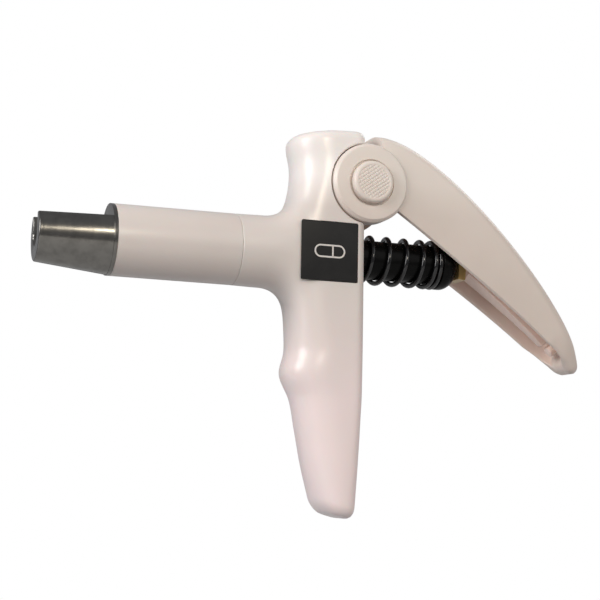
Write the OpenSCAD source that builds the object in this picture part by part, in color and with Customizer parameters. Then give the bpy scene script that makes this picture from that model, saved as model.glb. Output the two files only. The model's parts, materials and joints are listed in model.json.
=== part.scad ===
// Hand-held capsule applicator: squeeze lever, cam-driven plunger, steel capsule holder.
// X runs along the barrel, with the capsule end at -X. Z is up and the grip hangs down.
// The origin is on the barrel axis, at the front face of the holder's flange.

/* [Barrel] */
// Outer diameter of the barrel at the capsule end
barrel_d = 18; // [17:0.1:19]
// Outer diameter of the barrel where it meets the body
barrel_root_d = 18.8; // [18.4:0.1:19]
// Distance from the origin to the joint between sleeve and body
seam_x = 31.4; // [29:0.2:34]
// Bore that the plunger's stop collar runs in
collar_bore_d = 12.4; // [12.4:0.1:12.8]

/* [Capsule holder] */
// Length of the open trough in front of the flange
trough_length = 18.6; // [16:0.2:22]
// Inside diameter of the trough
capsule_bore_d = 11.8; // [11.4:0.1:12]
// Height of the trough's cut edges above the axis
trough_edge_z = 4.7; // [4:0.1:5.2]
// Outside diameter of the trough at its front end
trough_tip_d = 13.6; // [13.4:0.1:14]
// Width of the slot for the capsule's nozzle
nozzle_slot_d = 6; // [5:0.1:7]
// Thickness of the trough's front wall
front_wall = 1.6; // [1.2:0.1:2]
// Thickness of the holder's flange
flange_t = 0.9; // [0.7:0.1:1.6]

/* [Body] */
// Width of the body
body_w = 19; // [18.8:0.1:20]
// Rear face of the body
rear_x = 64.6; // [64:0.1:65.5]
// Height of the top of the head above the barrel axis
head_top = 33.6; // [32:0.2:34.5]
// Depth of the bottom of the grip below the barrel axis
grip_bottom = 65.9; // [62:0.5:70]
// Side of the square label
label_size = 15.6; // [14:0.2:16]

/* [Hinge] */
// Hinge axis, distance behind the origin
hinge_x = 65.4; // [65:0.1:66]
// Hinge axis, height above the barrel axis
hinge_z = 18.5; // [18.2:0.1:19]
// Diameter of the lever's hinge discs
disc_d = 20.8; // [20:0.1:21]
// Diameter of the axle
axle_d = 4; // [3.8:0.1:4.2]
// Diameter of the buttons on the axle's ends
button_d = 11; // [10:0.2:12]

/* [Lever] */
// Travel of the lever from open to fully squeezed, in degrees
lever_travel = 36; // [20:1:36]
// Thickness of the lever's walls
lever_wall = 2; // [1.8:0.1:2.2]
// Half width of the lever beside the hinge
lever_half_root = 10; // [9.8:0.1:10]
// Half width of the lever near its end
lever_half_tip = 6.6; // [6:0.1:7]

/* [Plunger] */
// Diameter of the plunger's rod
rod_d = 4; // [3.8:0.1:4.2]
// Diameter of the sleeve inside the spring
guide_d = 10.4; // [10:0.1:10.4]
// Rear end of the plunger's cap when the lever is open
cap_x = 94.3; // [93:0.1:95]
// Diameter of the cap
cap_d = 13; // [12.6:0.1:13.2]

/* [Return spring] */
// Diameter of the wire
wire_d = 1.3; // [1.1:0.05:1.3]
// Mean diameter of the coil
coil_d = 12; // [11.9:0.05:12.1]

/* [Hidden] */
$fn = 72;

body_half = body_w / 2;
web_half = 5;              // half width of the body's web between the lever's cheeks
web_r = 7;
cheek_inner = 6;           // the cheeks start this far from the middle plane
boss_face = 10.7;          // outer faces of the hinge discs
pocket_gap = 0.3;
bush_flange_t = 0.8;
bush_flange_d = 12;
bush_d = 6.4;
stem_d = 6;
running_gap = 0.05;
relief_start = [81, 14.3];
relief_end = [93.6, 5.1];
relief_r = 2;

shank_d = 14;
shank_end = 12.6;
spigot_d = 14.8;
spigot_end = 39.4;
socket_depth = 5;          // how far the capsule's bore goes in behind the flange
rear_bush_x = 50;
rear_bush_end = 57.5;
seat_x = 58.5;
rear_bush_d = 14.2;
spring_end = cap_x - 5.9;

white = [0.92, 0.89, 0.87];
lever_white = [0.88, 0.85, 0.82];
black = [0.05, 0.05, 0.05];
steel = [0.62, 0.62, 0.6];
amber = [0.78, 0.66, 0.36];

// --- helpers ---

function mix(a, b, t) = a + (b - a) * t;

// Point on a cubic curve with four control points
function bezier(c, t) =
    c[0] * pow(1 - t, 3) + c[1] * 3 * t * pow(1 - t, 2) + c[2] * 3 * t * t * (1 - t) + c[3] * pow(t, 3);

// Slope of a table of [position, value] pairs at row i
function slope(table, i) =
    let(a = table[max(i - 1, 0)], b = table[min(i + 1, len(table) - 1)])
    (b[1] - a[1]) / (b[0] - a[0]);

// Smooth curve through the pairs of a table
function flow(table, x, i = 0) =
    i < len(table) - 2 && x > table[i + 1][0] ? flow(table, x, i + 1) :
    let(a = table[i], b = table[i + 1], h = b[0] - a[0], t = min(max((x - a[0]) / h, 0), 1))
    a[1] * (2 * pow(t, 3) - 3 * t * t + 1) + b[1] * (3 * t * t - 2 * pow(t, 3))
    + h * slope(table, i) * (pow(t, 3) - 2 * t * t + t) + h * slope(table, i + 1) * (pow(t, 3) - t * t);

// One coordinate of a rounded square: power 2 is a circle, higher powers are squarer
function round_square(c, power) = sign(c) * pow(abs(c), 2 / power);

// Solid through a list of rings, each a closed list of points
module loft(rings) {
    count = len(rings[0]);
    last = len(rings) - 1;
    sides = [for (i = [0:last - 1], j = [0:count - 1], half = [0:1])
        let(a = i * count + j, b = i * count + (j + 1) % count)
        half == 0 ? [a, b + count, b] : [a, a + count, b + count]];
    start = [for (j = [0:count - 1]) j];
    end = [for (j = [count - 1:-1:0]) last * count + j];
    polyhedron([for (ring = rings) each ring], concat([start], sides, [end]), convexity = 6);
}

// Turned shape about the barrel axis, from [radius, x] points
module turned(points) {
    rotate([0, 90, 0]) rotate_extrude() polygon(points);
}

// Cylinder along X
module rod_x(from, to, d) {
    translate([from, 0, 0]) rotate([0, 90, 0]) cylinder(h = to - from, d = d);
}

// Cylinder about the hinge axis, between two distances from the middle plane on one side
module hinge_round(side, from, to, d, end_d = undef) {
    translate([hinge_x, side * from, hinge_z]) rotate([-90 * side, 0, 0])
        cylinder(h = to - from, d1 = d, d2 = is_undef(end_d) ? d : end_d);
}

// Plate with an outline in X and Z, between two Y values
module plate_y(points, from, to) {
    translate([0, to, 0]) rotate([90, 0, 0]) linear_extrude(to - from) polygon(points);
}

// --- body ---

front_line = [[-65, 54.4], [-55, 51.5], [-45, 49.5], [-37.5, 48], [-31, 45.2], [-25, 46.4],
    [-15, 46.5], [0, 46.4], [15, 46.9], [23, 47], [29, 46], [34, 46]];
half_line = [[-65, 8.2], [-50, 9], [-31, 9.3], [-10, body_half], [34, body_half]];
square_line = [[-25, 2.3], [-10, 4], [0, 5], [10, 4], [22, 2.4], [34, 2.3]];
rear_line = [[-65, rear_x - 1.4], [-45, rear_x - 0.4], [-35, rear_x], [0, rear_x], [34, rear_x]];
tilt_line = [[-65, -0.3], [-40, 0], [15, 0], [33, 0.12]];
crown_r = 3;

// Level ring of the body: rounded front, flat back with rounded corners
function body_ring(z, inset) =
    let(front = flow(front_line, z) + inset, rear = flow(rear_line, z) - inset * 0.5,
        half = flow(half_line, z) - inset, power = max(flow(square_line, z), 2),
        corner = 2.4, mid = min(front + 11, rear - corner - 0.4), tilt = flow(tilt_line, z))
    [for (p = concat(
        [for (a = [90:-12:-90])
            [mid - (mid - front) * round_square(cos(a), power), half * round_square(sin(a), power)]],
        [for (a = [-90:18:0]) [rear - corner * (1 - cos(a)), corner * (1 + sin(a)) - half]],
        [for (a = [0:18:90]) [rear - corner * (1 - cos(a)), half - corner * (1 - sin(a))]]))
        [p[0], p[1], z + tilt * (p[0] - 56)]];

module grip_and_head() {
    low = -grip_bottom;
    loft(concat(
        [for (a = [0:18:72]) body_ring(low + crown_r * (1 - cos(a)), crown_r * (1 - sin(a)))],
        [for (i = [0:31]) body_ring(mix(low + crown_r, head_top - crown_r, i / 32), 0)],
        [for (a = [0:18:90]) body_ring(head_top - crown_r * (1 - sin(a)), crown_r * (1 - cos(a)))]));
}

// Upright ring of the neck, rounder at the barrel and squarer at the body
function neck_ring(x, up, down, half, power) =
    [for (a = [0:8:352])
        [x, half * round_square(cos(a), power), (sin(a) > 0 ? up : down) * round_square(sin(a), power)]];

module neck() {
    flare = 7.2;
    start_x = 39.6;
    root = barrel_root_d / 2;
    loft(concat(
        [neck_ring(seam_x, barrel_d / 2 + 0.15, barrel_d / 2 + 0.15, barrel_d / 2 + 0.15, 2)],
        [for (a = [0:10:90])
            let(rise = flare * (1 - cos(a)))
            neck_ring(start_x + flare * sin(a), root + rise, root + rise, mix(root, body_half - 0.5, a / 90),
                mix(2, 2.8, a / 90))],
        [neck_ring(start_x + flare + 6, root + flare - 1, root + flare - 1, body_half - 0.6, 2.8)]));
}

module body_housing() {
    color(white) difference() {
        union() {
            grip_and_head();
            neck();
            hinge_round(1, -web_half, web_half, web_r * 2);
        }
        for (side = [-1, 1]) {
            hinge_round(side, web_half, 14, disc_d + 2 * pocket_gap);
        }
        hinge_round(1, -6, 6, bush_d);
        rod_x(seam_x - 1, spigot_end + 0.2, spigot_d);
        rod_x(seam_x, rear_bush_x + 1, collar_bore_d);
        rod_x(rear_bush_x, rear_x + 2, rear_bush_d);
        translate([54.4 - label_size / 2, -body_half - 1, -0.2 - label_size / 2])
            cube([label_size, 1.25, label_size]);
    }
}

module label_plate() {
    gap = 0.1;
    color(black) translate([54.4 - label_size / 2 + gap, -body_half - 0.05, -0.2 - label_size / 2 + gap])
        cube([label_size - 2 * gap, 0.3, label_size - 2 * gap]);
}

module barrel_sleeve() {
    outer = barrel_d / 2;
    end_x = seam_x - 0.15;
    color(white) difference() {
        turned([[0, 0], [outer - 0.3, 0], [outer, 0.3], [outer + 0.15, end_x],
            [spigot_d / 2, end_x], [spigot_d / 2, spigot_end], [0, spigot_end]]);
        rod_x(-1, shank_end + 0.4, shank_d);
        rod_x(1, spigot_end + 1, collar_bore_d);
    }
}

// --- capsule holder ---

module capsule_holder() {
    wall_x = front_wall - trough_length;
    color(steel) difference() {
        union() {
            turned([[0, -trough_length], [trough_tip_d / 2 - 0.3, -trough_length],
                [trough_tip_d / 2, 0.3 - trough_length], [barrel_d / 2 - 0.3, -flange_t], [0, -flange_t]]);
            turned([[0, -flange_t], [barrel_d / 2 - 0.3, -flange_t], [barrel_d / 2, 0.3 - flange_t],
                [barrel_d / 2, 0], [shank_d / 2, 0], [shank_d / 2, 7.1], [6.1, 7.1], [6.1, 8.5], [shank_d / 2, 8.5],
                [shank_d / 2, shank_end], [0, shank_end]]);
        }
        rod_x(wall_x, socket_depth, capsule_bore_d);
        rod_x(socket_depth - 1, shank_end + 1, 7.6);
        translate([-trough_length - 1, -12, trough_edge_z]) cube([trough_length + 1 - flange_t, 24, 10]);
        rod_x(-trough_length - 1, wall_x + 1, nozzle_slot_d);
        translate([-trough_length - 1, -nozzle_slot_d / 2, 0]) cube([front_wall + 2, nozzle_slot_d, 10]);
    }
}

module holder_o_ring() {
    color(black) translate([7.8, 0, 0]) rotate([0, 90, 0])
        rotate_extrude() translate([6.55, 0]) circle(d = 0.88, $fn = 24);
}

module front_guide_bush() {
    color(amber) difference() {
        rod_x(14, 20, collar_bore_d);
        rod_x(13, 21, rod_d + 2 * running_gap);
    }
}

module rear_guide_bush() {
    color(amber) difference() {
        rod_x(rear_bush_x, rear_bush_end, rear_bush_d);
        rod_x(rear_bush_x - 1, rear_bush_end + 1, guide_d + 2 * running_gap);
    }
}

module spring_seat_washer() {
    color(steel) difference() {
        rod_x(rear_bush_end, seat_x, rear_bush_d - 0.1);
        rod_x(rear_bush_end - 1, seat_x + 1, guide_d + 0.3);
    }
}

// --- hinge ---

module hinge_bush(side) {
    color(amber) difference() {
        union() {
            hinge_round(side, 0.2, web_half, bush_d);
            hinge_round(side, web_half, web_half + bush_flange_t, bush_flange_d);
        }
        hinge_round(side, 0, 7, axle_d + 2 * running_gap);
    }
}

module hinge_bush_left() {
    hinge_bush(1);
}

module hinge_bush_right() {
    hinge_bush(-1);
}

module hinge_axle() {
    color(steel) hinge_round(1, -9, 9, axle_d);
}

module hinge_button(side) {
    edge = 0.5;
    color(lever_white) difference() {
        union() {
            hinge_round(side, cheek_inner + 0.3, boss_face, stem_d);
            hinge_round(side, boss_face, boss_face + 1.1, button_d);
            hinge_round(side, boss_face + 1.1, boss_face + 1.1 + edge, button_d, button_d - 2 * edge);
        }
        hinge_round(side, 0, 9, axle_d);
    }
}

module hinge_button_left() {
    hinge_button(1);
}

module hinge_button_right() {
    hinge_button(-1);
}

// --- lever ---

back_curve = [[70, 32.5], [89, 31.5], [127, -7.5], [131.5, -25]];
edge_curve = [[72.7, 12], [84.6, 4.6], [118, -17.3], [126, -26]];
crown_h = 5;
back_wall = 2.2;
nose = 2;

// Point in the lever's side view: t runs along it, f from its open edge (0) to its back (1)
function lever_point(t, f) = mix(bezier(edge_curve, t), bezier(back_curve, t), f);
function lever_half(t) = mix(lever_half_root, lever_half_tip, pow(max(t, 0), 1.3));
function lever_depth(t) = norm(lever_point(t, 1) - lever_point(t, 0));

// Ring across the lever: up from the right edge, over the rounded back and down to the left edge
function arch_ring(t, half, depth, crown, foot) =
    let(full = lever_depth(t))
    [for (p = concat([[half, foot]],
        [for (a = [180:-15:0])
            [-half * round_square(cos(a), 3.2), depth - crown + crown * round_square(sin(a), 2.4)]],
        [[-half, foot]]))
        let(q = lever_point(t, p[1] / full))
        [q[0], p[0], q[1]]];

function crown(t) = min(crown_h, lever_depth(t) * 0.8);

// Rings past the lever's end close it as a rounded nose
function nose_ring(a) =
    let(middle = lever_point(1, 0.5), heading = lever_point(1, 0.5) - lever_point(0.98, 0.5),
        step = heading / norm(heading) * nose * sin(a))
    [for (p = arch_ring(1, lever_half(1), lever_depth(1), crown(1), 0))
        [middle[0] + step[0] + (p[0] - middle[0]) * cos(a), p[1] * mix(1, cos(a), 0.7),
            middle[1] + step[1] + (p[2] - middle[1]) * cos(a)]];

module lever_channel() {
    difference() {
        loft(concat(
            [for (i = [0:24]) let(t = i / 24) arch_ring(t, lever_half(t), lever_depth(t), crown(t), 0)],
            [for (a = [20:20:80]) nose_ring(a)]));
        loft([for (i = [-1:23])
            let(t = i / 24)
            arch_ring(t, lever_half(t) - lever_wall, lever_depth(t) - back_wall, crown(t) - 1, -4)]);
    }
}

// Involute of the hinge's base circle, so that the plunger moves evenly with the lever
function involute(turn, extra) =
    let(reach = cap_x + 0.1 - hinge_x + extra - hinge_z * turn * PI / 180)
    [hinge_x + hinge_z * sin(turn) + reach * cos(turn), hinge_z - hinge_z * cos(turn) + reach * sin(turn)];

cam_top = 38;
cam_bottom = -7;
pad_t = 2;

module cam_pad() {
    color(amber) plate_y(concat(
        [for (turn = [cam_bottom:5:cam_top]) involute(turn, 0)],
        [for (turn = [cam_top:-5:cam_bottom]) involute(turn, pad_t)]), -3.2, 3.2);
}

module cam_rib() {
    plate_y(concat(
        [for (turn = [cam_bottom:5:cam_top]) involute(turn, pad_t)],
        [for (t = [0.36:0.08:0.84]) lever_point(t, 0.94)],
        [for (t = [0.84:-0.08:0.44]) lever_point(t, 0.1)]), -2.4, 2.4);
}

function arc_points(centre, r, from, to) =
    [for (i = [0:4]) let(a = mix(from, to, i / 4)) centre + r * [cos(a), sin(a)]];

// Open window under the far cheek, from the hinge disc to the plunger's cap
module cheek_relief() {
    plate_y(concat([[66, -8], [66, 12], [74, 12.4], [76.5, 13.1]], arc_points(relief_start, relief_r, 128, 54),
        arc_points(relief_end, relief_r, 54, 0), [[relief_end[0] + relief_r, -8]]), cheek_inner - 0.5, 10.3);
}

module lever_shell() {
    color(lever_white) difference() {
        union() {
            difference() {
                union() {
                    lever_channel();
                    for (side = [-1, 1]) {
                        plate_y([[68, 28.6], [70.2, 31.4], [78, 29], [76, 10.6], [69, 9]],
                            side > 0 ? cheek_inner : -9.9, side > 0 ? 9.9 : -cheek_inner);
                    }
                }
                cheek_relief();
            }
            cam_rib();
            for (side = [-1, 1]) {
                hinge_round(side, cheek_inner, 9.9, disc_d);
                hinge_round(side, 9.9, boss_face - 0.4, disc_d);
                hinge_round(side, boss_face - 0.4, boss_face, disc_d, disc_d - 0.8);
            }
        }
        for (side = [-1, 1]) {
            hinge_round(side, 4, 12, stem_d);
        }
    }
}

// --- plunger ---

module plunger_rod() {
    color(steel) rod_x(5, cap_x - 3, rod_d);
}

module plunger_tip() {
    nose = 2.5;
    color(steel) difference() {
        turned([[0, nose], [3, nose], [3.6, nose + 0.6], [3.6, 10.4], [3.2, 11], [0, 11]]);
        rod_x(5, 12, rod_d);
    }
}

module stop_collar() {
    color(steel) difference() {
        rod_x(46.4, 49.1, collar_bore_d - 0.4);
        rod_x(46, 50, rod_d);
    }
}

module stop_buffer() {
    color(black) difference() {
        rod_x(49.1, 49.8, collar_bore_d - 0.5);
        rod_x(49, 50, rod_d);
    }
}

module spring_guide_sleeve() {
    color(black) difference() {
        rod_x(49.8, spring_end, guide_d);
        rod_x(49, spring_end + 1, rod_d);
    }
}

module plunger_cap() {
    reach = cap_x - spring_end - 1.4;
    color(black) difference() {
        turned(concat([[0, spring_end], [cap_d / 2 - 0.3, spring_end], [cap_d / 2, spring_end + 0.3]],
            [for (a = [0:10:90]) [cap_d / 2 * cos(a), spring_end + 1.4 + reach * sin(a)]]));
        rod_x(spring_end - 1, cap_x - 3, rod_d);
        translate([spring_end + 1.6, -8, 0]) rotate([-90, 0, 0]) cylinder(h = 16, d = 1.5);
    }
}

module cap_pin() {
    pin_x = spring_end + 1.6;
    color(steel) difference() {
        translate([pin_x, -6, 0]) rotate([-90, 0, 0]) cylinder(h = 12, d = 1.5);
        rod_x(pin_x - 2, pin_x + 2, rod_d);
    }
}

// Rise of the wire along the coil, by turns: the first and last turns lie wire to wire
coil_line = [[0, 0], [1, 1.34], [1.94, 3.8], [2.94, 8.6], [3.94, 13.4], [4.94, 18.4], [5.94, 23.3],
    [7, 27.2], [8, 28.55]];

function coil_x(t) = seat_x + 0.05 + wire_d / 2 + flow(coil_line, t);

module return_spring() {
    phase = 290;
    steps = 8 * 18;
    color(black) loft([for (i = [0:steps])
        let(t = i / 18, a = 360 * t + phase)
        [for (b = [0:45:315])
            let(r = coil_d / 2 + wire_d / 2 * cos(b))
            [coil_x(t) + wire_d / 2 * sin(b), r * sin(a), r * cos(a)]]]);
}

body_housing();
barrel_sleeve();
capsule_holder();
holder_o_ring();
front_guide_bush();
rear_guide_bush();
spring_seat_washer();
hinge_bush_left();
hinge_bush_right();
label_plate();
lever_shell();
cam_pad();
hinge_axle();
hinge_button_left();
hinge_button_right();
plunger_rod();
plunger_tip();
stop_collar();
stop_buffer();
spring_guide_sleeve();
plunger_cap();
cap_pin();
return_spring();
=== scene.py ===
import json
import math

import bmesh
import bpy
from mathutils import Matrix, Vector


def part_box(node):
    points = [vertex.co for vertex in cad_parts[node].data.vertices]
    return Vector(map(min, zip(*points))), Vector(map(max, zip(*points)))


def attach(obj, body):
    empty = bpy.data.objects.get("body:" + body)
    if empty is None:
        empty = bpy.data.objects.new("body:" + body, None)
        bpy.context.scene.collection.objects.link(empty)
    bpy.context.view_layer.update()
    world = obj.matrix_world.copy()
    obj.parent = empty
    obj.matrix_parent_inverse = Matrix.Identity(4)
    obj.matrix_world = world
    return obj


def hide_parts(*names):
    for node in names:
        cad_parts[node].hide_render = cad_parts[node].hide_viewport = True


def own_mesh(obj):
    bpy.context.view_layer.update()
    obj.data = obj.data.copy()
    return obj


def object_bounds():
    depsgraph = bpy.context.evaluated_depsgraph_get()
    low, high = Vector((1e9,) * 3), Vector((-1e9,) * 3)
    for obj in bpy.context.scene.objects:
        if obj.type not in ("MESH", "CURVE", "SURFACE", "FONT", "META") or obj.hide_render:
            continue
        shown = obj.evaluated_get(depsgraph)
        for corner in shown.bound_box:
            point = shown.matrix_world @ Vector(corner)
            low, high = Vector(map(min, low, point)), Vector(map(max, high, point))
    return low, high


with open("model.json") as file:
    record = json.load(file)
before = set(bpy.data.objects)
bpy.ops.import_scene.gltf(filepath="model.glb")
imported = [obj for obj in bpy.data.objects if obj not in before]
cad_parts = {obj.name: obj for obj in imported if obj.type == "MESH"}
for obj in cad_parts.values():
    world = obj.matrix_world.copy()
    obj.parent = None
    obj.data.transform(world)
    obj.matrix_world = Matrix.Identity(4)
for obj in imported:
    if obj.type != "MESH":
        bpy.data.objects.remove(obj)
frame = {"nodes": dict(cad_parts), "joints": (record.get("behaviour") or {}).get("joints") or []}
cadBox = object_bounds()
nodes = frame["nodes"]
joints = {joint["name"]: joint for joint in frame["joints"]}
mm = 0.001
print("frame loaded:", len(nodes), "CAD nodes")


# places that the frame gives, in millimetres
def boxInMm(node):
    low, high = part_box(node)
    return low / mm, high / mm


hinge = Vector(joints["lever_hinge"]["pos_m"]) / mm
bodyLow, bodyHigh = boxInMm("body_housing")
seamX = bodyLow.x
rearX = hinge.x - 0.8      # the flat rear face stands just ahead of the hinge
holderLow, holderHigh = boxInMm("capsule_holder")
sleeveLow, sleeveHigh = boxInMm("barrel_sleeve")
bushHigh = boxInMm("rear_guide_bush")[1]
seatX = boxInMm("spring_seat_washer")[1].x
capLow, capHigh = boxInMm("plunger_cap")
stroke = joints["plunger_slide"]["range_m"][1] / mm


def mixed(a, b, t):
    return a + (b - a) * t


def clamped(x):
    return min(max(x, 0), 1)


def onTable(table, x):
    # smooth curve through (place, value) pairs
    last = len(table) - 1
    i = 0
    while i < last - 1 and x > table[i + 1][0]:
        i += 1

    def slope(k):
        a, b = table[max(k - 1, 0)], table[min(k + 1, last)]
        return (b[1] - a[1]) / (b[0] - a[0])

    a, b = table[i], table[i + 1]
    h = b[0] - a[0]
    t = clamped((x - a[0]) / h)
    t2, t3 = t * t, t * t * t
    return (a[1] * (2 * t3 - 3 * t2 + 1) + b[1] * (3 * t2 - 2 * t3)
            + h * slope(i) * (t3 - 2 * t2 + t) + h * slope(i + 1) * (t3 - t2))


def squared(c, power):
    # one coordinate of a rounded square: power 2 is a circle
    return math.copysign(abs(c) ** (2 / power), c)


def turnAngles(start, stop, count):
    return [math.radians(mixed(start, stop, i / count)) for i in range(count + 1)]


def rounded(points, radius, steps=5):
    # closed outline with each corner replaced by an arc; a point may carry its own radius
    out = []
    count = len(points)
    for i, point in enumerate(points):
        here = Vector(point[:2])
        size = point[2] if len(point) > 2 else radius
        before, after = Vector(points[i - 1][:2]) - here, Vector(points[(i + 1) % count][:2]) - here
        if size <= 0 or before.length < 1e-6 or after.length < 1e-6:
            out.append(here)
            continue
        angle = before.angle(after)
        reach = min(size / math.tan(angle / 2), before.length * 0.49, after.length * 0.49)
        a, b = here + before.normalized() * reach, here + after.normalized() * reach
        for k in range(steps + 1):
            t = k / steps
            out.append(a * (1 - t) ** 2 + here * 2 * t * (1 - t) + b * t * t)
    return out


def meshFrom(name, points, faces):
    mesh = bpy.data.meshes.new(name)
    mesh.from_pydata([Vector(p) * mm for p in points], [], faces)
    mesh.validate()
    thing = bpy.data.objects.new(name, mesh)
    bpy.context.scene.collection.objects.link(thing)
    outward(thing)
    return thing


def outward(thing):
    edit = bmesh.new()
    edit.from_mesh(thing.data)
    bmesh.ops.remove_doubles(edit, verts=edit.verts, dist=1e-7)
    bmesh.ops.recalc_face_normals(edit, faces=edit.faces)
    edit.to_mesh(thing.data)
    edit.free()


def loft(name, rings, capped=True):
    count = len(rings[0])
    faces = []
    for i in range(len(rings) - 1):
        for j in range(count):
            k = (j + 1) % count
            faces.append((i * count + j, i * count + k, (i + 1) * count + k, (i + 1) * count + j))
    if capped:
        faces.append(tuple(range(count)))
        faces.append(tuple((len(rings) - 1) * count + j for j in range(count)))
    return meshFrom(name, [p for ring in rings for p in ring], faces)


def turned(name, outline, origin=(0, 0, 0), axis=(1, 0, 0), segments=96):
    # outline: closed list of (radius, place along the axis); a zero radius closes on the axis
    origin, along = Vector(origin), Vector(axis)
    u = along.orthogonal().normalized()
    v = along.cross(u)
    rings = []
    for r, s in outline:
        rings.append([origin + along * s + (u * math.cos(a) + v * math.sin(a)) * max(r, 1e-4)
                      for a in turnAngles(0, 360 - 360 / segments, segments - 1)])
    rings.append(rings[0])
    return loft(name, rings, capped=False)


def slab(name, outline, low, high, radius=0):
    # flat outline (x, z) given a thickness between two y values
    points = rounded(outline, radius) if radius else [Vector(p) for p in outline]
    return loft(name, [[(p[0], y, p[1]) for p in points] for y in (low, high)])


def rectangle(low, high, gap=0):
    # (x, z) outline of a box, let out by gap
    left, right, bottom, top = low.x - gap, high.x + gap, low.z - gap, high.z + gap
    return [(left, bottom), (right, bottom), (right, top), (left, top)]


def applied(thing):
    # keeps what the modifiers make as the mesh itself
    bpy.context.view_layer.update()
    graph = bpy.context.evaluated_depsgraph_get()
    mesh = bpy.data.meshes.new_from_object(thing.evaluated_get(graph))
    thing.modifiers.clear()
    thing.data = mesh
    return thing


def combine(thing, others, operation="DIFFERENCE"):
    for other in others:
        step = thing.modifiers.new("combine", "BOOLEAN")
        step.operation = operation
        step.solver = "EXACT"
        step.object = other
        applied(thing)
        bpy.data.objects.remove(other)
    return thing


def remeshed(thing, voxel, smooth):
    step = thing.modifiers.new("remesh", "REMESH")
    step.mode = "VOXEL"
    step.voxel_size = voxel * mm
    applied(thing)
    step = thing.modifiers.new("smooth", "SMOOTH")
    step.factor = 0.5
    step.iterations = smooth
    return applied(thing)


def softened(thing, passes, weight):
    # smooths only where weight(x, y, z) is above nothing
    group = thing.vertex_groups.new(name="soft")
    for vertex in thing.data.vertices:
        share = weight(*(vertex.co / mm))
        if share > 0:
            group.add([vertex.index], share, "REPLACE")
    step = thing.modifiers.new("soften", "SMOOTH")
    step.vertex_group = "soft"
    step.factor = 0.5
    step.iterations = passes
    applied(thing)
    thing.vertex_groups.clear()
    return thing


def beveled(thing, width, segments=3, angle=40):
    step = thing.modifiers.new("bevel", "BEVEL")
    step.width = width * mm
    step.segments = segments
    step.limit_method = "ANGLE"
    step.angle_limit = math.radians(angle)
    step.use_clamp_overlap = True
    return applied(thing)


def joined(name, things):
    edit = bmesh.new()
    for thing in things:
        edit.from_mesh(thing.data)
    mesh = bpy.data.meshes.new(name)
    edit.to_mesh(mesh)
    edit.free()
    for thing in things:
        bpy.data.objects.remove(thing)
    whole = bpy.data.objects.new(name, mesh)
    bpy.context.scene.collection.objects.link(whole)
    return whole


def finished(thing, body, material, replaced=(), sharp=35):
    mesh = thing.data
    mesh.materials.clear()
    mesh.materials.append(material)
    for face in mesh.polygons:
        face.use_smooth = True
        face.material_index = 0
    mesh.set_sharp_from_angle(angle=math.radians(sharp))
    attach(thing, body)
    if replaced:
        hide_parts(*replaced)
    return thing


class Wire:
    # a shader value that takes part in sums
    def __init__(self, shader, socket):
        self.shader = shader
        self.socket = socket

    def sum(self, operation, a, b):
        return self.shader.add("ShaderNodeMath", {"operation": operation}, {0: a, 1: b})

    def __add__(self, other):
        return self.sum("ADD", self, other)

    def __mul__(self, other):
        return self.sum("MULTIPLY", self, other)


class Finish:
    # builds one node tree; given no tree, it makes a material of its own
    def __init__(self, name, tree=None):
        if tree is None:
            self.material = bpy.data.materials.new(name)
            self.material.use_nodes = True
            tree = self.material.node_tree
        self.tree = tree
        self.tree.nodes.clear()
        self.count = 0
        self.place = self.add("ShaderNodeTexCoord", {}, {}, "Object")

    def add(self, kind, settings, inputs, output=0):
        # settings go in before the sockets, so that the sockets are the right ones
        node = self.tree.nodes.new(kind)
        node.location = (self.count % 6 * 200, -(self.count // 6) * 260)
        self.count += 1
        for key, value in settings.items():
            if key == "stops":
                ramp = node.color_ramp
                while len(ramp.elements) < len(value):
                    ramp.elements.new(0.5)
                for element, (at, colour) in zip(ramp.elements, value):
                    element.position = at
                    element.color = (*colour, 1)
            else:
                setattr(node, key, value)
        for key, value in inputs.items():
            socket = node.inputs[key]
            if isinstance(value, Wire):
                self.tree.links.new(value.socket, socket)
            elif isinstance(value, tuple) and len(value) == 3 and socket.type == "RGBA":
                socket.default_value = (*value, 1)
            else:
                socket.default_value = value
        return node if output is None else Wire(self, node.outputs[output])

    def stretched(self, x, y, z):
        return self.add("ShaderNodeVectorMath", {"operation": "MULTIPLY"}, {0: self.place, 1: (x, y, z)})

    def part(self, vector, index):
        return self.add("ShaderNodeSeparateXYZ", {}, {0: vector}, index)

    def inward(self):
        # one where a face looks back toward the middle plane: the mask of the painted bounce light
        facing = self.add("ShaderNodeNewGeometry", {}, {}, "Normal")
        return self.mask(self.part(facing, 1) * self.part(self.place, 1) * -200, 0.3, 0.5)

    def noise(self, scale, detail=3, where=None, rough=0.5):
        return self.add("ShaderNodeTexNoise", {}, {"Vector": where or self.place, "Scale": scale,
                                                   "Detail": detail, "Roughness": rough})

    def ramp(self, value, stops):
        return self.add("ShaderNodeValToRGB", {"stops": stops}, {0: value})

    def mask(self, value, start, full):
        # black up to start, white from full
        return self.ramp(value, [(start, (0, 0, 0)), (full, (1, 1, 1))])

    def blended(self, factor, a, b):
        return self.add("ShaderNodeMix", {"data_type": "RGBA"}, {0: factor, 6: a, 7: b}, 2)

    def bumped(self, height, strength, distance):
        return self.add("ShaderNodeBump", {}, {"Height": height, "Strength": strength,
                                               "Distance": distance * mm})

    def shaded(self, **sockets):
        names = {"colour": "Base Color", "roughness": "Roughness", "metallic": "Metallic",
                 "normal": "Normal", "coat": "Coat Weight", "coatRoughness": "Coat Roughness",
                 "specular": "Specular IOR Level", "subsurface": "Subsurface Weight",
                 "subsurfaceScale": "Subsurface Scale"}
        surface = self.add("ShaderNodeBsdfPrincipled", {}, {names[k]: v for k, v in sockets.items()})
        end = self.tree.nodes.new("ShaderNodeOutputMaterial")
        self.tree.links.new(surface.socket, end.inputs["Surface"])
        return self.material
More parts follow.
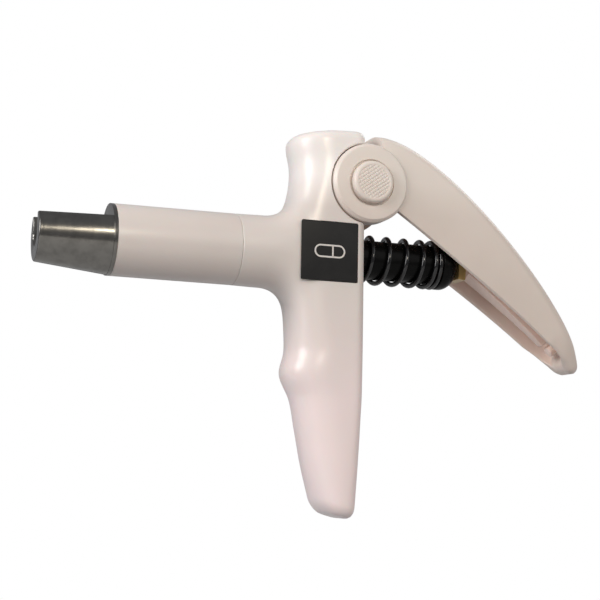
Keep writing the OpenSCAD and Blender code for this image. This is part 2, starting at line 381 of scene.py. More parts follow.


# cloud is a random tint; the low and crown colours are painted light that lightens the grip's lower part and
# the head's top; inside is painted warm bounce light on inner faces
bodyPlasticLook = {"colour": (0.745, 0.68, 0.645), "cloud": (0.725, 0.655, 0.615),
                   "lowPaintedLight": (0.92, 0.785, 0.78), "crown": (0.92, 0.865, 0.84), "inside": (0.8, 0.72, 0.68),
                   "roughness": 0.3, "grain": 0.02, "coat": 0.15, "subsurface": 0.1}
leverPlasticLook = {"colour": (0.75, 0.66, 0.6), "cloud": (0.71, 0.62, 0.56), "lowPaintedLight": (0.76, 0.66, 0.6),
                    "crown": (0.82, 0.74, 0.68), "inside": (0.98, 0.8, 0.7),
                    "roughness": 0.36, "grain": 0.035, "coat": 0.08, "subsurface": 0.06}
# the rib and the stud get a lighter, warmer copy of the lever plastic: painted bounce light inside the
# channel
leverBounceLitLook = dict(leverPlasticLook, colour=(0.97, 0.78, 0.69), cloud=(0.95, 0.74, 0.64),
                     lowPaintedLight=(0.97, 0.79, 0.7), crown=(0.97, 0.78, 0.69), inside=(0.97, 0.78, 0.69))


def mouldedPlastic(name, look):
    finish = Finish(name)
    clouds = finish.noise(55, 4)
    flow = finish.noise(14, 2, finish.stretched(1, 1, 0.45))
    grain = finish.noise(2600, 2)
    smudges = finish.noise(120, 5, rough=0.65)
    base = finish.blended(finish.mask(clouds, 0.35, 0.7), look["colour"], look["cloud"])
    # painted light: low and high lighten the lower part and the top, set by height alone
    height = finish.part(finish.place, 2)
    low = finish.mask(height * -16 + flow * 0.2, 0.25, 0.7)
    high = finish.mask(height * 40, 0.45, 0.8)
    colour = finish.blended(high, finish.blended(low * 0.9, base, look["lowPaintedLight"]), look["crown"])
    # painted bounce light: inner faces turn to the lighter, warmer inside colour
    colour = finish.blended(finish.inward(), colour, look["inside"])
    roughness = smudges * 0.14 + grain * 0.05 + (look["roughness"] - 0.08)
    return finish.shaded(colour=colour, roughness=roughness, coat=look["coat"], coatRoughness=0.24,
                         subsurface=look["subsurface"], subsurfaceScale=0.003,
                         normal=finish.bumped(grain + smudges * 0.6, 0.35, look["grain"]))


steelLook = {"colour": (0.165, 0.16, 0.15), "stain": (0.1, 0.096, 0.09), "roughness": 0.17}


def turnedSteel(name, look):
    # fine rings round the barrel's axis, left by the lathe
    finish = Finish(name)
    rings = finish.noise(1, 3, finish.stretched(3400, 40, 40), rough=0.7)
    bands = finish.noise(1, 2, finish.stretched(520, 25, 25))
    stains = finish.noise(420, 5, rough=0.6)
    scratches = finish.noise(1, 2, finish.stretched(260, 2200, 2200))
    colour = finish.blended(finish.mask(stains, 0.42, 0.68) * 0.55, look["colour"], look["stain"])
    return finish.shaded(colour=colour, metallic=1.0,
                         roughness=rings * 0.16 + bands * 0.12 + stains * 0.1 + (look["roughness"] - 0.16),
                         normal=finish.bumped(rings + bands * 0.5 + scratches * 0.25, 0.5, 0.008))


def groundSteel(name, colour):
    finish = Finish(name)
    grind = finish.noise(1, 3, finish.stretched(240, 3000, 3000), rough=0.7)
    haze = finish.noise(300, 4)
    tone = finish.blended(haze * 0.5, colour, tuple(c * 0.75 for c in colour))
    return finish.shaded(colour=tone, metallic=1.0, roughness=grind * 0.2 + haze * 0.1 + 0.14,
                         normal=finish.bumped(grind, 0.3, 0.01))


def blackGloss(name, look):
    finish = Finish(name)
    dust = finish.noise(900, 5, rough=0.7)
    smear = finish.noise(150, 4)
    colour = finish.blended(finish.mask(dust, 0.6, 0.8) * look["dust"], look["colour"], (0.09, 0.085, 0.08))
    return finish.shaded(colour=colour, roughness=smear * 0.14 + dust * 0.08 + look["roughness"],
                         specular=look["specular"], normal=finish.bumped(smear + dust * 0.3, 0.25, 0.02))


def labelFilm(name):
    finish = Finish(name)
    fibre = finish.noise(3200, 2)
    rub = finish.noise(230, 5, rough=0.6)
    colour = finish.blended(finish.mask(rub, 0.45, 0.75) * 0.5, (0.012, 0.012, 0.0125),
                            (0.022, 0.0215, 0.021))
    return finish.shaded(colour=colour, roughness=rub * 0.16 + 0.4, specular=0.22,
                         normal=finish.bumped(fibre, 0.4, 0.01))


def amberPlastic(name):
    finish = Finish(name)
    swirl = finish.noise(260, 4)
    grain = finish.noise(2400, 2)
    colour = finish.blended(swirl, (0.66, 0.5, 0.2), (0.52, 0.36, 0.13))
    return finish.shaded(colour=colour, roughness=grain * 0.12 + 0.26, subsurface=0.12,
                         subsurfaceScale=0.002, normal=finish.bumped(grain, 0.3, 0.015))


def softRubber(name):
    finish = Finish(name)
    pores = finish.noise(2600, 3)
    bloom = finish.noise(300, 4)
    colour = finish.blended(bloom, (0.016, 0.016, 0.016), (0.03, 0.029, 0.028))
    return finish.shaded(colour=colour, roughness=pores * 0.15 + 0.6,
                         normal=finish.bumped(pores, 0.5, 0.03))


bodyPlastic = mouldedPlastic("warmWhitePlastic", bodyPlasticLook)
leverPlastic = mouldedPlastic("leverPlastic", leverPlasticLook)
leverBounceLitPlastic = mouldedPlastic("leverBounceLitPlastic", leverBounceLitLook)
holderSteel = turnedSteel("turnedSteel", steelLook)
brightSteel = groundSteel("groundSteel", (0.62, 0.61, 0.6))
blackWire = blackGloss("blackWire", {"colour": (0.004, 0.004, 0.005), "dust": 0.05, "roughness": 0.02,
                                     "specular": 0.5})
blackPlastic = blackGloss("blackPlastic", {"colour": (0.003, 0.003, 0.003), "dust": 0.1, "roughness": 0.16,
                                           "specular": 0.07})
blackFilm = labelFilm("blackFilm")
amber = amberPlastic("amberAcetal")
rubber = softRubber("blackRubber")
print("finishes made")


# body moulding: head, grip and barrel root in one smooth form
bodyShape = {
    # tables are (z, value): the front face's x, the half width, how square the plan is,
    # the rear face's x from the flat rear, and the slope of each level
    "front": [(-65, 54.4), (-55, 51.5), (-45, 49.5), (-37.5, 48), (-31, 45.2), (-25, 46.4),
              (-15, 46.5), (0, 46.4), (15, 46.9), (23, 47), (29, 46), (34, 46)],
    "half": [(-65, 8.2), (-50, 9), (-31, 9.3), (-10, 9.5), (34, 9.5)],
    "square": [(-25, 2.3), (-10, 4), (0, 5), (10, 4), (22, 2.4), (34, 2.3)],
    "rear": [(-65, -1.4), (-45, -0.4), (-35, 0), (0, 0), (34, 0)],
    "tilt": [(-65, -0.3), (-40, 0), (15, 0), (33, 0.12)],
    "bottom": -65.9, "top": 33.6, "edge": 3, "corner": 2.4,
    "rootRadius": 9.4, "rootStart": 39.6, "flare": 7.2, "neckHalf": 9.1, "neckPower": 2.6,
    "voxel": 0.45, "smoothing": 6, "neckPasses": 110,
    "crownFrom": 22, "crownOver": 12, "crownFall": 1.3, "crownSlope": 0.5,
    "discRadius": 10.4, "pocketGap": 0.3, "pocketChamfer": 0.35,
    "webHalf": 5, "webRadius": 7, "axleRadius": 3.2,
    "seamChamfer": 0.3, "spigotBore": 7.42, "rodBore": 6.2, "springPocket": 50, "labelGap": 0.1}


def bodyRing(z, inset):
    shape = bodyShape
    front = onTable(shape["front"], z) + inset
    rear = rearX + onTable(shape["rear"], z) - inset * 0.5
    half = onTable(shape["half"], z) - inset
    power = max(onTable(shape["square"], z), 2)
    corner = shape["corner"]
    middle = min(front + 11, rear - corner - 0.4)      # the front nose ends here, straight sides follow
    tilt = onTable(shape["tilt"], z)
    flat = [(middle - (middle - front) * squared(math.cos(a), power), half * squared(math.sin(a), power))
            for a in turnAngles(90, -90, 36)]
    flat += [(rear - corner * (1 - math.cos(a)), corner * (1 + math.sin(a)) - half)
             for a in turnAngles(-90, 0, 6)]
    flat += [(rear - corner * (1 - math.cos(a)), half - corner * (1 - math.sin(a)))
             for a in turnAngles(0, 90, 6)]
    return [(x, y, z + tilt * (x - 56)) for x, y in flat]


def bodyRings():
    shape = bodyShape
    low, top, edge = shape["bottom"], shape["top"], shape["edge"]
    rings = [bodyRing(low + edge * (1 - math.cos(a)), edge * (1 - math.sin(a)))
             for a in turnAngles(0, 75, 5)]
    rings += [bodyRing(mixed(low + edge, top - edge, i / 80), 0) for i in range(81)]
    rings += [bodyRing(top - edge * (1 - math.sin(a)), edge * (1 - math.cos(a)))
              for a in turnAngles(10, 90, 6)]
    return rings


def neckRing(x, reach, half, power):
    # half is the ring's width to each side, reach its height up and down
    return [(x, half * squared(math.cos(a), power), reach * squared(math.sin(a), power))
            for a in turnAngles(0, 360 - 5, 71)]


def neckRings():
    shape = bodyShape
    root, start, flare = shape["rootRadius"], shape["rootStart"], shape["flare"]
    front = root - 0.25
    rings = [neckRing(seamX - 1.5, front, front, 2), neckRing(seamX + 3, front + 0.1, front + 0.1, 2)]
    for i in range(13):
        a = math.radians(i * 7.5)
        reach = root + flare * (1 - math.cos(a))
        half, power = mixed(root, shape["neckHalf"], i / 12), mixed(2, shape["neckPower"], i / 12)
        rings.append(neckRing(start + flare * math.sin(a), reach, half, power))
    rings.append(neckRing(start + flare + 6, root + flare - 1, shape["neckHalf"] - 0.2, shape["neckPower"]))
    return rings


def neckBlend(x, y, z):
    # strongest where the neck meets the head and the grip
    return (clamped((x - 37) / 4) * clamped((56 - x) / 6)
            * clamped((abs(z) - 5) / 4) * clamped((27 - abs(z)) / 7))


def makeBody():
    shape = bodyShape
    web = shape["webHalf"]
    body = joined("bodyShell", [loft("grip", bodyRings()), loft("neck", neckRings())])
    remeshed(body, shape["voxel"], shape["smoothing"])
    for vertex in body.data.vertices:
        # the head's crown falls away toward the hinge
        share = clamped((vertex.co.z / mm - shape["crownFrom"]) / shape["crownOver"])
        slope = shape["crownSlope"] * clamped((vertex.co.x / mm - 55) / 12)
        vertex.co.z -= share * share * (shape["crownFall"] + slope) * mm
    softened(body, shape["neckPasses"], neckBlend)
    radius = shape["webRadius"]
    outline = rounded([(0, -web, 0), (radius, -web), (radius, web), (0, web, 0)], 0.5)
    combine(body, [turned("lug", outline, hinge, (0, 1, 0))], "UNION")
    combine(body, bodyCutters())
    return finished(body, "body", bodyPlastic, ["body_housing"], sharp=40)


def bodyCutters():
    # the barrel's front edge, the bores, the two disc pockets, the axle's hole and the label's recess
    shape = bodyShape
    web = shape["webHalf"]
    chamfer = shape["seamChamfer"]
    rim = sleeveHigh.z + 0.05
    cutters = [turned("seamCut", [(0, seamX - 5), (14, seamX - 5), (14, seamX + chamfer + 0.6),
                                  (rim + 0.6, seamX + chamfer + 0.6), (rim - chamfer, seamX), (0, seamX)])]
    spigot, bore, pocket = shape["spigotBore"], shape["rodBore"], bushHigh.z + 0.02
    end, start = sleeveHigh.x + 0.2, shape["springPocket"]
    cutters.append(turned("boreCut", [(0, seamX - 1), (spigot, seamX - 1), (spigot, end), (bore, end),
                                      (bore, start), (pocket, start), (pocket, rearX - 0.3),
                                      (pocket + 1.3, rearX + 1), (0, rearX + 1)]))
    discRadius = shape["discRadius"] + shape["pocketGap"]
    face, edge = bodyHigh.y, shape["pocketChamfer"]
    for side in (-1, 1):
        outline = [(0, web), (discRadius, web), (discRadius, face - edge), (discRadius + edge + 1, face + 1),
                   (0, face + 1)]
        cutters.append(turned("pocketCut", [(r, y * side) for r, y in outline], hinge, (0, 1, 0), 128))
    axle = shape["axleRadius"]
    cutters.append(turned("axleCut", [(0, -7), (axle, -7), (axle, 7), (0, 7)], hinge, (0, 1, 0)))
    labelLow, labelHigh = boxInMm("label_plate")
    outline = rectangle(labelLow, labelHigh, shape["labelGap"])
    cutters.append(slab("labelCut", outline, labelLow.y - 3, labelHigh.y, radius=0.5))
    return cutters


makeBody()
print("body made")


# front part of the barrel: outside radii, bore and the spigot that plugs into the body
sleeveShape = {"mouth": 9.0, "mouthEdge": 0.35, "heel": 9.15, "heelEdge": 0.12, "spigot": 7.4,
               "bore": 7.0, "neck": 6.2, "neckStart": 13, "seam": 0.02, "corner": 0.15}


def makeSleeve():
    shape = sleeveShape
    front, rear, back = sleeveLow.x, seamX - shape["seam"], sleeveHigh.x
    outline = rounded([(shape["bore"], front), (shape["mouth"], front, shape["mouthEdge"]),
                       (shape["heel"], rear, shape["heelEdge"]), (shape["spigot"], rear, 0),
                       (shape["spigot"], back), (shape["neck"], back), (shape["neck"], shape["neckStart"]),
                       (shape["bore"], shape["neckStart"])], shape["corner"])
    return finished(turned("barrelSleeve", outline, segments=128), "body", bodyPlastic,
                    ["barrel_sleeve"])


makeSleeve()
print("sleeve made")


# steel capsule holder: an open trough with a flange and a shank
holderShape = {"frontWall": 1.6, "boreRadius": 5.9, "boreEnd": 5, "rodRadius": 3.8, "slotRadius": 3,
               "slotFlare": 0.6, "edgeHeight": 4.7, "rootRadius": 8.8, "tipRadius": 6.8, "flange": 0.9,
               "flangeRadius": 9, "shankRadius": 7, "rim": 0.45, "edge": 0.12}


def makeHolder():
    shape = holderShape
    front, back = holderLow.x, holderHigh.x
    flange, flangeRadius, shank = shape["flange"], shape["flangeRadius"], shape["shankRadius"]
    outer = rounded([(0, front, 0), (shape["tipRadius"], front, shape["rim"]),
                     (shape["rootRadius"], -flange - 0.02, 0.05), (flangeRadius, -flange, 0.25),
                     (flangeRadius, 0, 0.05), (shank, 0, 0), (shank, back), (0, back, 0)], 0.2, 6)
    holder = turned("capsuleHolder", outer, segments=128)
    combine(holder, holderCutters(front, back))
    beveled(holder, shape["edge"], 2, 50)
    return finished(holder, "body", holderSteel, ["capsule_holder"], sharp=40)


def holderCutters(front, back):
    # the open top, the capsule's bore, the rod's hole, and the nozzle's slot: a hole open to the top
    shape = holderShape
    wall, end = front + shape["frontWall"], -shape["flange"] - 0.01
    height, slot, flare = shape["edgeHeight"], shape["slotRadius"], shape["slotFlare"]
    bore, boreEnd, rod = shape["boreRadius"], shape["boreEnd"], shape["rodRadius"]
    top = [(front - 1, height), (end, height), (end, 14), (front - 1, 14)]
    boreOutline = rounded([(0, wall, 0), (bore, wall, 0.8), (bore, boreEnd), (0, boreEnd, 0)], 0.3)
    slotOutline = [(0, front - 1), (slot + flare, front - 1), (slot, front + 0.5), (slot, wall + 1),
                   (0, wall + 1)]
    gap = [(front - 1, -slot - 0.5), (front + 0.5, -slot), (wall + 1, -slot),
           (wall + 1, slot), (front + 0.5, slot), (front - 1, slot + 0.5)]
    return [slab("topCut", top, -12, 12),
            turned("boreCut", boreOutline, segments=96),
            turned("rodCut", [(0, 4), (rod, 4), (rod, back + 1), (0, back + 1)]),
            turned("slotCut", slotOutline),
            loft("gapCut", [[(x, y, z) for x, y in gap] for z in (0, 12)])]


makeHolder()
print("holder made")


# label with a plain capsule sign
labelShape = {"corner": 0.45, "edge": 0.04, "signLength": 8.4, "signHeight": 3.4, "signLine": 0.42,
              "signProud": 0.03, "barPlace": 0.6, "barHalf": 1.5}


def pillOutline(centre, length, height):
    radius = height / 2
    reach = length / 2 - radius
    return ([(centre[0] + reach + radius * math.cos(a), centre[1] + radius * math.sin(a))
             for a in turnAngles(-90, 90, 14)]
            + [(centre[0] - reach + radius * math.cos(a), centre[1] + radius * math.sin(a))
               for a in turnAngles(90, 270, 14)])


def makeLabel():
    shape = labelShape
    low, high = boxInMm("label_plate")
    plate = slab("labelPlate", rectangle(low, high), low.y, high.y, radius=shape["corner"])
    beveled(plate, shape["edge"], 2)
    finished(plate, "body", blackFilm, ["label_plate"])
    centre = ((low.x + high.x) / 2, (low.z + high.z) / 2)
    near, far = low.y - shape["signProud"], low.y + 0.1
    length, height, line = shape["signLength"], shape["signHeight"], shape["signLine"]
    pill = slab("sign", pillOutline(centre, length, height), near, far)
    hole = slab("signHole", pillOutline(centre, length - 2 * line, height - 2 * line), near - 1, far + 1)
    combine(pill, [hole])
    left, half = centre[0] + shape["barPlace"], shape["barHalf"]
    right, bottom, top = left + line, centre[1] - half, centre[1] + half
    bar = slab("signBar", [(left, bottom), (right, bottom), (right, top), (left, top)], near, far)
    finished(joined("labelSign", [pill, bar]), "body", bodyPlastic)


makeLabel()
print("label made")


# lever: an open channel with two hinge discs; its two curves are (x, z)
leverShape = {
    "back": [(70, 32.5), (89, 31.5), (127, -7.5), (131.5, -25)],
    "edge": [(72.7, 12), (84.6, 4.6), (118, -17.3), (126, -26)],
    "halfRoot": 10, "halfTip": 6.6, "wall": 2, "tipWall": 1.35, "thinFrom": 0.55, "thinOver": 0.35,
    "backWall": 2.2, "crown": 5,
    "start": -0.03, "closeFrom": 0.9, "closeAt": 0.978, "nose": 2.6, "noseFrom": 0.8, "noseCurve": 0.5,
    "discRadius": 10.4, "discFace": 10.7, "discInner": 6, "discChamfer": 0.75,
    "discEdge": 0.2, "counterbore": 6.15, "counterboreDepth": 0.8}


def cubic(points, t):
    a, b, c, d = (Vector(p) for p in points)
    return a * (1 - t) ** 3 + b * 3 * t * (1 - t) ** 2 + c * 3 * t * t * (1 - t) + d * t ** 3


def noseShare(t):
    # how wide the section still is as the tip rounds off
    part = clamped((t - leverShape["noseFrom"]) / (1 - leverShape["noseFrom"]))
    return math.sqrt(1 - leverShape["noseCurve"] * part * part)


def leverPoint(t, f):
    # t runs from the hinge to the tip, f from the open edge to the back
    return cubic(leverShape["edge"], t).lerp(cubic(leverShape["back"], t), f)


def leverHalf(t):
    return mixed(leverShape["halfRoot"], leverShape["halfTip"], max(t, 0) ** 1.3) * noseShare(t)


def leverDepth(t):
    return (leverPoint(t, 1) - leverPoint(t, 0)).length


def arch(half, depth, crown, count=28):
    return [(-half * squared(math.cos(a), 3.2), depth - crown + crown * squared(math.sin(a), 2.4))
            for a in turnAngles(180, 0, count)]


def leverRing(t):
    # one section of the channel: outer arch, near lip, inner arch, far lip
    shape = leverShape
    half, depth = leverHalf(t), leverDepth(t)
    crown = min(shape["crown"], depth * 0.8)
    wall = mixed(shape["wall"], shape["tipWall"], clamped((t - shape["thinFrom"]) / shape["thinOver"]))
    lip = wall / 2
    opening = 1.0
    if t > shape["closeFrom"]:
        part = clamped((t - shape["closeFrom"]) / (shape["closeAt"] - shape["closeFrom"]))
        opening = math.sqrt(1 - part * part)
    inHalf = (half - wall) * mixed(0.55, 1, opening)
    inDepth = max((depth - shape["backWall"]) * opening, lip + 0.02)
    inCrown = min(crown - 1, (inDepth - lip) * 0.95)
    outer = arch(half, depth, crown)
    inner = arch(inHalf, inDepth, inCrown)
    middle, spread = (half + inHalf) / 2, (half - inHalf) * 0.36
    lipLine = [(middle + spread, lip * 0.3), (middle, 0), (middle - spread, lip * 0.3)]
    flat = [(half, lip)] + outer + [(-half, lip)] + [(-y, v) for y, v in lipLine] + [(-inHalf, lip)]
    return flat + inner[::-1] + [(inHalf, lip)] + lipLine[::-1], depth


def leverRings():
    shape = leverShape
    rings = []
    steps = 72
    for i in range(steps + 1):
        t = mixed(shape["start"], 1, i / steps)
        flat, depth = leverRing(t)
        rings.append([(*leverPoint(t, v / depth), y) for y, v in flat])
    rings = [[(x, y, z) for x, z, y in ring] for ring in rings]
    heading = (leverPoint(1, 0.5) - leverPoint(0.98, 0.5)).normalized()
    middle = leverPoint(1, 0.5)
    last = rings[-1]
    for a in turnAngles(12, 84, 6):
        slim, push = math.cos(a), shape["nose"] * math.sin(a)
        rings.append([(middle.x + heading.x * push + (x - middle.x) * slim, y * mixed(1, slim, 0.7),
                       middle.y + heading.y * push + (z - middle.y) * slim) for x, y, z in last])
    return rings


def makeDisc(side):
    shape = leverShape
    face, radius, chamfer = shape["discFace"], shape["discRadius"], shape["discChamfer"]
    inner, well, floor = shape["discInner"], shape["counterbore"], face - shape["counterboreDepth"]
    outline = [(3, inner), (radius, inner), (radius, face - chamfer, 0.25), (radius - chamfer, face, 0.3),
               (well, face, 0.12), (well, floor, 0.05), (3, floor)]
    outline = rounded(outline, shape["discEdge"], 4)
    return turned("disc", [(r, y * side) for r, y in outline], hinge, (0, 1, 0), 160)


# the rib that carries the cam pad follows the pad's curve, then the channel to near the tip
camShape = {"bottomTurn": -7, "topTurn": 38, "padThickness": 2, "ribWide": 3.1, "ribNarrow": 1.2,
            "ribBack": 0.94, "ribEdge": 0.1, "ribEnd": 0.84, "ribRound": 0.3}


def involute(turn, extra):
    # the cam curve: the plunger moves evenly as the lever turns
    a = math.radians(turn)
    drop = hinge.z
    reach = capHigh.x + 0.1 - hinge.x + extra - drop * a
    return (hinge.x + drop * math.sin(a) + reach * math.cos(a),
            hinge.z - drop * math.cos(a) + reach * math.sin(a))


def makeRib():
    shape = camShape
    low, high, pad = shape["bottomTurn"], shape["topTurn"], shape["padThickness"]
    outline = [involute(mixed(low, high, i / 14), pad) for i in range(15)]
    outline += [tuple(leverPoint(t, shape["ribBack"])) for t in (0.36, 0.44, 0.52, 0.6, 0.68, 0.76, 0.84)]
    outline += [tuple(leverPoint(t, shape["ribEdge"])) for t in (0.84, 0.76, 0.68, 0.6, 0.52, 0.44)]
    rib = slab("rib", outline, -1, 1)
    start, end = outline[0][0] * mm, leverPoint(shape["ribEnd"], shape["ribEdge"]).x * mm
    for vertex in rib.data.vertices:
        share = clamped((vertex.co.x - start) / (end - start))
        vertex.co.y *= mixed(shape["ribWide"], shape["ribNarrow"], share)
    return beveled(rib, shape["ribRound"], 3, 50)


studShape = {"place": 0.885, "from": 0.16, "to": 0.8, "top": 1.45, "foot": 1.6}


def makeStud():
    shape = studShape
    low, high = leverPoint(shape["place"], shape["from"]), leverPoint(shape["place"], shape["to"])
    direction = Vector((high.x - low.x, 0, high.y - low.y))
    length = direction.length
    outline = rounded([(0, 0, 0), (shape["top"], 0, 0.5), (shape["foot"], length, 0), (0, length, 0)], 0.4)
    return turned("stud", outline, (low.x, 0, low.y), direction.normalized(), 32)


# a window in the channel's far wall, between two rounded corners
reliefShape = {"near": [(66, -8), (66, 12), (74, 12.4), (76.5, 13.1)], "start": (81, 14.3),
               "end": (93.6, 5.1), "radius": 2, "low": -8, "inside": 5.5, "outside": 10.6}
tipShape = {"passes": 24, "from": -20, "over": 3}      # how the tip is smoothed, by height


def arcAround(centre, radius, start, stop):
    return [(centre[0] + radius * math.cos(a), centre[1] + radius * math.sin(a))
            for a in turnAngles(start, stop, 8)]


def tipBlend(x, y, z):
    return clamped((tipShape["from"] - z) / tipShape["over"])


def makeChannel():
    channel = softened(loft("channel", leverRings()), tipShape["passes"], tipBlend)
    shape = reliefShape
    radius = shape["radius"]
    window = (shape["near"] + arcAround(shape["start"], radius, 128, 54)
              + arcAround(shape["end"], radius, 54, 0) + [(shape["end"][0] + radius, shape["low"])])
    return combine(channel, [slab("window", window, shape["inside"], shape["outside"])])


def makeLever():
    # the rib and stud wear the copy of the lever plastic with painted bounce light
    core = joined("leverCore", [makeRib(), makeStud()])
    finished(core, "lever", leverBounceLitPlastic, sharp=38)
    shell = joined("leverShell", [makeChannel(), makeDisc(-1), makeDisc(1)])
    return finished(shell, "lever", leverPlastic, ["lever_shell"], sharp=38)


makeLever()
print("lever made")


# hinge buttons with a cross-hatched face
buttonShape = {"radius": 5.5, "height": 1.6, "edge": 0.75, "hatchRadius": 4.5, "pitch": 0.82, "depth": 0.16,
               "slopes": (1.0, -0.62), "groove": 0.22, "fade": 0.25, "stemRadius": 3, "stemLength": 4}


def hatchDepth(x, z):
    shape = buttonShape
    fade = clamped((shape["hatchRadius"] - math.hypot(x, z)) / shape["fade"])
    deep = 0
    for slope in shape["slopes"]:
        across = (x * math.sin(slope) + z * math.cos(slope)) / shape["pitch"]
        away = abs(across - round(across))
        deep = max(deep, 1 - away / shape["groove"])
    return fade * shape["depth"] * deep


def makeButton(side):
    shape = buttonShape
    radius, edge = shape["radius"], shape["edge"]
    base = leverShape["discFace"] - leverShape["counterboreDepth"]
    face = leverShape["discFace"] + shape["height"]
    ringCount, segments = 52, 168
    flatRadius = radius - edge      # the hatched face is a fine mesh, so the grooves are real
    profile = [(flatRadius * (i + 1) / ringCount, face) for i in range(ringCount)]
    profile += [(flatRadius + edge * math.sin(a), face - edge * (1 - math.cos(a)))
                for a in turnAngles(15, 90, 5)]
    profile += [(radius, base)]
    rings = []
    for r, y in profile:
        ring = []
        for a in turnAngles(0, 360 - 360 / segments, segments - 1):
            x, z = r * math.cos(a), r * math.sin(a)
            down = hatchDepth(x, z) if r <= flatRadius else 0
            ring.append((hinge.x + x, side * (y - down), hinge.z + z))
        rings.append(ring)
    button = loft("cap", rings)
    foot, top, stemRadius = base - shape["stemLength"], base + 0.1, shape["stemRadius"]
    outline = [(0, foot), (stemRadius, foot), (stemRadius, top), (0, top)]
    stem = turned("stem", [(r, y * side) for r, y in outline], hinge, (0, 1, 0))
    name, node = ("buttonLeft", "hinge_button_left") if side > 0 else ("buttonRight", "hinge_button_right")
    return finished(joined(name, [button, stem]), "lever", leverPlastic, [node], sharp=60)


makeButton(-1)
makeButton(1)
print("buttons made")


# return spring; rise is how far along the axis the wire is after so many turns
springShape = {
    "wire": 1.3, "meanRadius": 6, "turns": 8, "phase": 290, "stepsPerTurn": 40, "sides": 14,
    "rise": [(0, 0), (1, 1.34), (1.94, 3.8), (2.94, 8.6), (3.94, 13.4), (4.94, 18.4), (5.94, 23.3),
             (7, 27.2), (8, 28.55)]}      # the first turn lies wire to wire


def coilX(t):
    return seatX + 0.05 + springShape["wire"] / 2 + onTable(springShape["rise"], t)


def makeSpring():
    shape = springShape
    wire = shape["wire"] / 2
    rings = []
    for i in range(shape["turns"] * shape["stepsPerTurn"] + 1):
        t = i / shape["stepsPerTurn"]
        a = math.radians(360 * t + shape["phase"])
        x = coilX(t)
        ring = []
        for b in turnAngles(0, 360 - 360 / shape["sides"], shape["sides"] - 1):
            r = shape["meanRadius"] + wire * math.cos(b)
            ring.append((x + wire * math.sin(b), r * math.sin(a), r * math.cos(a)))
        rings.append(ring)
    spring = finished(loft("returnSpring", rings), "body", blackWire, ["return_spring"])
    length = capLow.x - seatX
    (length - stroke) / length
    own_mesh(spring)


capShape = {"flange": 1.4, "edge": 0.3}


def makeCap():
    shape = capShape
    radius, start, flange = capHigh.z, capLow.x, shape["flange"]
    reach = capHigh.x - start - flange
    outline = rounded([(0, start, 0), (radius, start, shape["edge"]), (radius, start + flange, 0)], 0)
    outline += [(radius * math.cos(a), start + flange + reach * math.sin(a)) for a in turnAngles(5, 90, 17)]
    finished(turned("plungerCap", outline), "plunger", blackPlastic, ["plunger_cap"])


makeSpring()
makeCap()
print("spring and cap made")


# CAD nodes that keep their shape
keptNodes = {"holder_o_ring": rubber, "stop_buffer": rubber,
             "front_guide_bush": amber, "rear_guide_bush": amber,
             "hinge_bush_left": amber, "hinge_bush_right": amber, "cam_pad": amber,
             "spring_seat_washer": brightSteel, "hinge_axle": brightSteel, "plunger_rod": brightSteel,
             "plunger_tip": brightSteel, "stop_collar": brightSteel, "cap_pin": brightSteel,
             "spring_guide_sleeve": blackPlastic}
for name, material in keptNodes.items():
    nodes[name].data.materials.clear()
    nodes[name].data.materials.append(material)


# floor, light and camera, in metres and degrees
stageLook = {"floorDrop": 0.09, "floorSize": 1.1, "floorColour": (0.93, 0.93, 0.925),
             "backdrop": (1, 1, 1), "below": (0.27, 0.26, 0.26), "level": (0.31, 0.31, 0.315),
             "above": (0.38, 0.385, 0.4)}
lamps = {
    "key": {"at": (-0.75, -0.28, 0.27), "size": 0.5, "power": 4.9, "colour": (1.0, 0.99, 0.985)},
    "front": {"at": (-0.03, -0.88, 0.29), "size": 0.13, "power": 2.0, "colour": (1.0, 0.9, 0.74)},
    "fill": {"at": (0.6, -0.75, 0.36), "size": 0.8, "power": 1.5, "colour": (1.0, 0.965, 0.93)},
    "back": {"at": (0.75, 0.35, 0.6), "size": 0.5, "power": 1.2, "colour": (1.0, 0.98, 0.96)}}
cameraView = {"azimuth": -20, "elevation": -8, "roll": 1.0, "distance": 0.33, "lens": 76.43, "sensor": 36,
              "aim": (0.05, 0, -0.01185)}


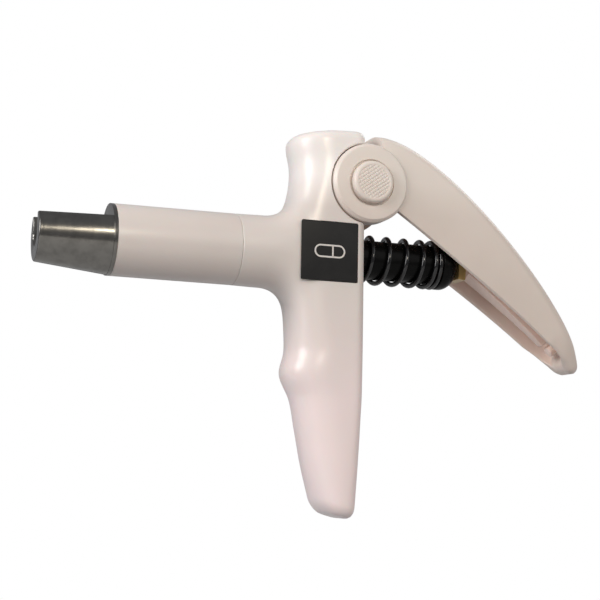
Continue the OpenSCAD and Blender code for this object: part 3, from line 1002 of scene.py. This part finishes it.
def makeStage():
    look = stageLook
    size, drop = look["floorSize"] / mm / 2, cadBox[0][2] / mm - look["floorDrop"] / mm
    floor = loft("floor", [[(-size, -size, z), (size, -size, z), (size, size, z), (-size, size, z)]
                           for z in (drop - 10, drop)])
    finish = Finish("paleFloor")
    speckle = finish.noise(60, 3)
    colour = finish.blended(speckle * 0.3, look["floorColour"], tuple(c * 0.97 for c in look["floorColour"]))
    floor.data.materials.append(finish.shaded(colour=colour, roughness=0.9))
    floor.visible_diffuse = False      # the floor throws no light back up at the object
    bpy.context.scene.world = studioWorld()


def studioWorld():
    # white behind the object, and a soft dome of light that is darker below
    look = stageLook
    world = bpy.data.worlds.new("studio")
    world.use_nodes = True
    dome = Finish("studio", world.node_tree)
    up = dome.part(dome.add("ShaderNodeTexCoord", {}, {}, "Generated"), 2)
    light = dome.ramp(up * 0.5 + 0.5, [(0.3, look["below"]), (0.5, look["level"]), (0.8, look["above"])])
    surface = dome.add("ShaderNodeMixShader", {}, {
        0: dome.add("ShaderNodeLightPath", {}, {}, "Is Camera Ray"),
        1: dome.add("ShaderNodeBackground", {}, {"Color": light}),
        2: dome.add("ShaderNodeBackground", {}, {"Color": look["backdrop"]})})
    dome.tree.links.new(surface.socket, dome.add("ShaderNodeOutputWorld", {}, {}, None).inputs["Surface"])
    return world


def makeLamps():
    target = Vector(cameraView["aim"])
    for name, lamp in lamps.items():
        data = bpy.data.lights.new(name, "AREA")
        data.shape = "DISK"
        data.size = lamp["size"]
        data.energy = lamp["power"]
        data.color = lamp["colour"]
        thing = bpy.data.objects.new(name, data)
        thing.location = lamp["at"]
        thing.rotation_euler = (target - Vector(lamp["at"])).to_track_quat("-Z", "Y").to_euler()
        bpy.context.scene.collection.objects.link(thing)


def makeCamera():
    view = cameraView
    azimuth, elevation = math.radians(view["azimuth"]), math.radians(view["elevation"])
    back = Vector((math.sin(azimuth) * math.cos(elevation), -math.cos(azimuth) * math.cos(elevation),
                   math.sin(elevation)))
    data = bpy.data.cameras.new("camera")
    data.lens, data.sensor_width = view["lens"], view["sensor"]
    data.clip_start = 0.01
    thing = bpy.data.objects.new("camera", data)
    bpy.context.scene.collection.objects.link(thing)
    turn = back.to_track_quat("Z", "Y").to_matrix() @ Matrix.Rotation(math.radians(view["roll"]), 3, "Z")
    thing.matrix_world = Matrix.Translation(Vector(view["aim"]) + back * view["distance"]) @ turn.to_4x4()
    bpy.context.scene.camera = thing


makeStage()
makeLamps()
makeCamera()
bpy.context.scene.view_settings.view_transform = "Standard"
print("stage made")
